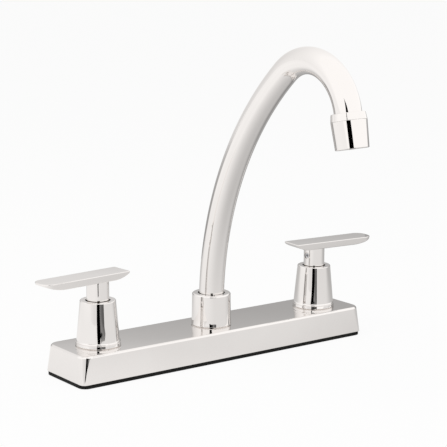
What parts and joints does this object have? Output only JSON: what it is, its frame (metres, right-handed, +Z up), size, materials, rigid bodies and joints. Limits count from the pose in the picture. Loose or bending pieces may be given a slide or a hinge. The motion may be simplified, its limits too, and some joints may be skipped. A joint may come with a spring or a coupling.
{
  "type": "kitchen tap",
  "caption": "Deck-mounted kitchen tap with a swivelling gooseneck spout between hot and cold lever handles on one long plate.",
  "frame": {"origin": "middle of the deck plate's footprint, on the sink deck, at the underside of the gasket", "axes": "+Z up along the spout's swivel axis, +X along the plate towards the cold valve, -Y towards the user, where the spout points at rest"},
  "size_m": [0.306, 0.1926, 0.2926],
  "materials": {
    "chrome_plate": "polished chrome plating",
    "brass": "turned, uncoated",
    "copper_tube": "drawn tube, dull",
    "seal_rubber": "smooth, greased",
    "ceramic_disc": "lapped",
    "white_acetal": "moulded",
    "steel": "bright zinc or stainless",
    "gasket_rubber": "matt"
  },
  "bodies": {
    "faucet_body": {"deck_plate": "chrome_plate", "base_gasket": "gasket_rubber", "spout_post": "brass", "spout_collar": "chrome_plate", "lower_bearing_washer": "white_acetal", "upper_bearing_washer": "white_acetal", "hot_valve_body": "brass", "hot_lock_washer": "steel", "hot_locknut": "brass", "hot_cross_tube": "copper_tube", "hot_seat_seal": "seal_rubber", "hot_cartridge_housing": "brass", "hot_fixed_disc": "ceramic_disc", "hot_bell": "chrome_plate", "cold_valve_body": "brass", "cold_lock_washer": "steel", "cold_locknut": "brass", "cold_cross_tube": "copper_tube", "cold_seat_seal": "seal_rubber", "cold_cartridge_housing": "brass", "cold_fixed_disc": "ceramic_disc", "cold_bell": "chrome_plate"},
    "hot_handle_group": {"hot_handle": "chrome_plate", "hot_spline_insert": "white_acetal", "hot_set_screw": "steel", "hot_stem": "brass", "hot_stem_seal": "seal_rubber", "hot_circlip": "steel", "hot_moving_disc": "ceramic_disc"},
    "cold_handle_group": {"cold_handle": "chrome_plate", "cold_spline_insert": "white_acetal", "cold_set_screw": "steel", "cold_stem": "brass", "cold_stem_seal": "seal_rubber", "cold_circlip": "steel", "cold_moving_disc": "ceramic_disc"},
    "spout_group": {"spout_tube": "chrome_plate", "spout_sleeve": "brass", "spout_seals": "seal_rubber", "outlet_ring": "chrome_plate", "aerator_housing": "chrome_plate", "aerator_washer": "seal_rubber", "aerator_core": "white_acetal", "aerator_screen": "steel"}
  },
  "joints": [
    {"name": "hot_handle_turn", "type": "hinge", "parent": "faucet_body", "child": "hot_handle_group", "pos_m": [-0.1016, 0, 0.07], "axis": [0, 0, 1], "range_deg": [0, 90]},
    {"name": "cold_handle_turn", "type": "hinge", "parent": "faucet_body", "child": "cold_handle_group", "pos_m": [0.1016, 0, 0.07], "axis": [0, 0, -1], "range_deg": [0, 90]},
    {"name": "spout_swivel", "type": "hinge", "parent": "faucet_body", "child": "spout_group", "pos_m": [0, 0, 0.04], "axis": [0, 0, 1], "continuous": true}
  ]
}
